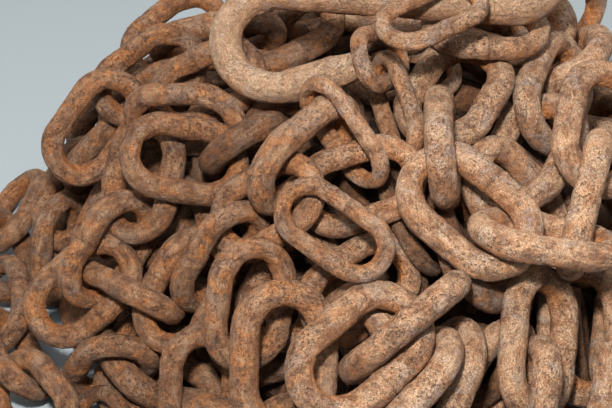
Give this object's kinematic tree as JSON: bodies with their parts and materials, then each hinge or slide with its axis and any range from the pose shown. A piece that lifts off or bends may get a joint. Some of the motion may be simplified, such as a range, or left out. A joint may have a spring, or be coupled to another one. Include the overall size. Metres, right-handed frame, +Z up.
{
  "type": "heap of iron chain",
  "caption": "Heap of rusty iron chain in mixed sizes, with interlocked and loose oval links and a round-bar hook with an eye lying on top.",
  "frame": {"origin": "under the middle of the heap, on the level floor that it rests on", "axes": "+Z up; +Y away from the side that the picture looks at; +X to the right as the picture sees it"},
  "size_m": [0.3647, 0.3416, 0.1751],
  "materials": {
    "heavy_link": "rusty iron, dusty brown with orange in the hollows, matt and pitted",
    "medium_link": "rusty iron, dusty brown, matt and pitted",
    "light_link": "rusty iron, dusty brown, matt and pitted",
    "run_of_links": "rusty iron, darker brown, matt and pitted",
    "hook": "rusty iron under pale tan dust, matt, finely pitted",
    "inner_chain": "rusty iron in shade, matt"
  },
  "bodies": {
    "root": {"heap_core": "inner_chain", "hook": "hook", "link_arch_low": "medium_link", "link_arch_middle": "medium_link", "link_bar_left": "medium_link", "link_bar_upper": "medium_link", "link_bent_low": "heavy_link", "link_big_oval": "heavy_link", "link_block_low": "heavy_link", "link_block_middle": "heavy_link", "link_bowl_middle": "medium_link", "link_corner_front": "heavy_link", "link_cross_right": "heavy_link", "link_crown_left": "medium_link", "link_dark_low": "heavy_link", "link_edge_far": "medium_link", "link_edge_left": "medium_link", "link_edge_middle": "heavy_link", "link_end_on": "heavy_link", "link_flat_left": "medium_link", "link_long_right": "heavy_link", "link_low_left": "medium_link", "link_lump_left": "medium_link", "link_open_middle": "heavy_link", "link_post_front": "heavy_link", "link_post_low": "heavy_link", "link_post_right": "heavy_link", "link_ring_far": "medium_link", "link_ring_left": "medium_link", "link_ring_low": "medium_link", "link_ring_upper": "medium_link", "link_round_front": "heavy_link", "link_round_upper": "medium_link", "link_slant_front": "heavy_link", "link_slant_low": "heavy_link", "link_slant_right": "heavy_link", "link_slope_left": "medium_link", "link_slope_low": "medium_link", "link_tall_left": "medium_link", "link_tall_low": "heavy_link", "link_tall_right": "heavy_link", "link_thin_drop": "light_link", "link_thin_middle": "light_link", "link_thin_slant": "light_link", "link_thin_top": "light_link", "link_thin_under": "light_link", "link_top_back": "light_link", "link_top_edge": "medium_link", "link_top_flat": "medium_link", "link_top_right": "heavy_link", "link_wedge_front": "heavy_link", "run_back_foot": "run_of_links", "run_back_side": "run_of_links", "run_back_upper": "run_of_links", "run_front_foot": "run_of_links", "run_left_foot": "run_of_links", "run_left_rim": "run_of_links", "run_right_climb": "run_of_links", "run_right_foot": "run_of_links", "run_right_side": "run_of_links"}
  },
  "joints": []
}
